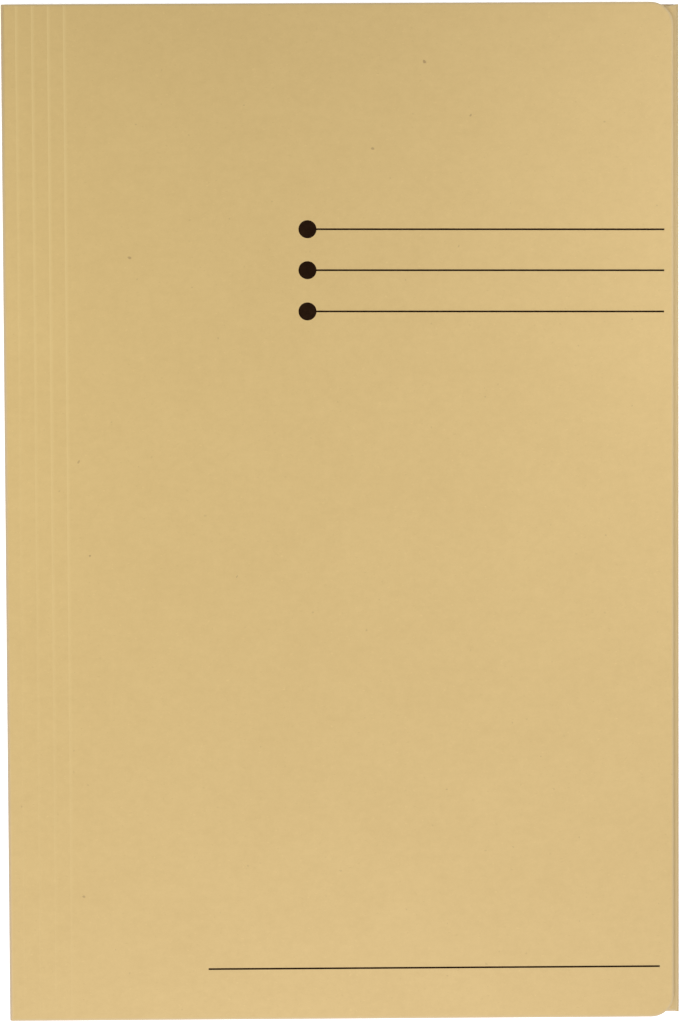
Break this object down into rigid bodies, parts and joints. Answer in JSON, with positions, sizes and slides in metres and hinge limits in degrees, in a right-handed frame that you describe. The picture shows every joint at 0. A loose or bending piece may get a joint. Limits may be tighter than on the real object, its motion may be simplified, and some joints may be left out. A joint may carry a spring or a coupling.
{
  "type": "three-flap folder",
  "caption": "Closed manila board folder for folio papers: a front cover on a scored spine, over a side, a head and a tail flap, each hinged at its fold along the back.",
  "frame": {"origin": "centre of the closed folder's outline, on the plane it rests on", "axes": "+Z out of the front cover, +Y towards the head, the spine fold at -X"},
  "size_m": [0.23, 0.347, 0.0025],
  "materials": {
    "manila_board": "uncoated manila board, matt"
  },
  "bodies": {
    "back": {"back_panel": "manila_board", "spine_bend_lower": "manila_board", "side_bend_lower": "manila_board", "top_bend_lower": "manila_board", "bottom_bend_lower": "manila_board"},
    "spine_strip_1": {"spine_strip_1": "manila_board", "spine_bend_upper": "manila_board"},
    "spine_strip_2": {"spine_strip_2": "manila_board"},
    "spine_strip_3": {"spine_strip_3": "manila_board"},
    "spine_strip_4": {"spine_strip_4": "manila_board"},
    "front_cover": {"front_cover": "manila_board"},
    "side_flap": {"side_flap": "manila_board", "side_bend_upper": "manila_board"},
    "top_flap": {"top_flap": "manila_board", "top_bend_upper": "manila_board"},
    "bottom_flap": {"bottom_flap": "manila_board", "bottom_bend_upper": "manila_board"}
  },
  "joints": [
    {"name": "cover_open", "type": "hinge", "parent": "back", "child": "spine_strip_1", "pos_m": [-0.1151, 0, 0.00125], "axis": [0, -1, 0], "range_deg": [0, 175]},
    {"name": "score_1", "type": "hinge", "parent": "spine_strip_1", "child": "spine_strip_2", "pos_m": [-0.1098, 0, 0.0023], "axis": [0, 1, 0], "range_deg": [-45, 0]},
    {"name": "score_2", "type": "hinge", "parent": "spine_strip_2", "child": "spine_strip_3", "pos_m": [-0.1044, 0, 0.0023], "axis": [0, 1, 0], "range_deg": [-45, 0]},
    {"name": "score_3", "type": "hinge", "parent": "spine_strip_3", "child": "spine_strip_4", "pos_m": [-0.099, 0, 0.0023], "axis": [0, 1, 0], "range_deg": [-45, 0]},
    {"name": "score_4", "type": "hinge", "parent": "spine_strip_4", "child": "front_cover", "pos_m": [-0.0936, 0, 0.0023], "axis": [0, 1, 0], "range_deg": [-45, 0]},
    {"name": "side_open", "type": "hinge", "parent": "back", "child": "side_flap", "pos_m": [0.1151, 0.00042, 0.0009], "axis": [0, 1, 0], "range_deg": [0, 175]},
    {"name": "top_open", "type": "hinge", "parent": "back", "child": "top_flap", "pos_m": [0.00017, 0.17295, 0.00055], "axis": [-1, 0, 0], "range_deg": [0, 175]},
    {"name": "bottom_open", "type": "hinge", "parent": "back", "child": "bottom_flap", "pos_m": [0.00017, -0.1721, 0.00055], "axis": [1, 0, 0], "range_deg": [0, 175]}
  ],
  "couplings": [
    {"joint": "side_open", "follows": "cover_open", "ratio": 1},
    {"joint": "top_open", "follows": "cover_open", "ratio": 1},
    {"joint": "bottom_open", "follows": "cover_open", "ratio": 1}
  ]
}
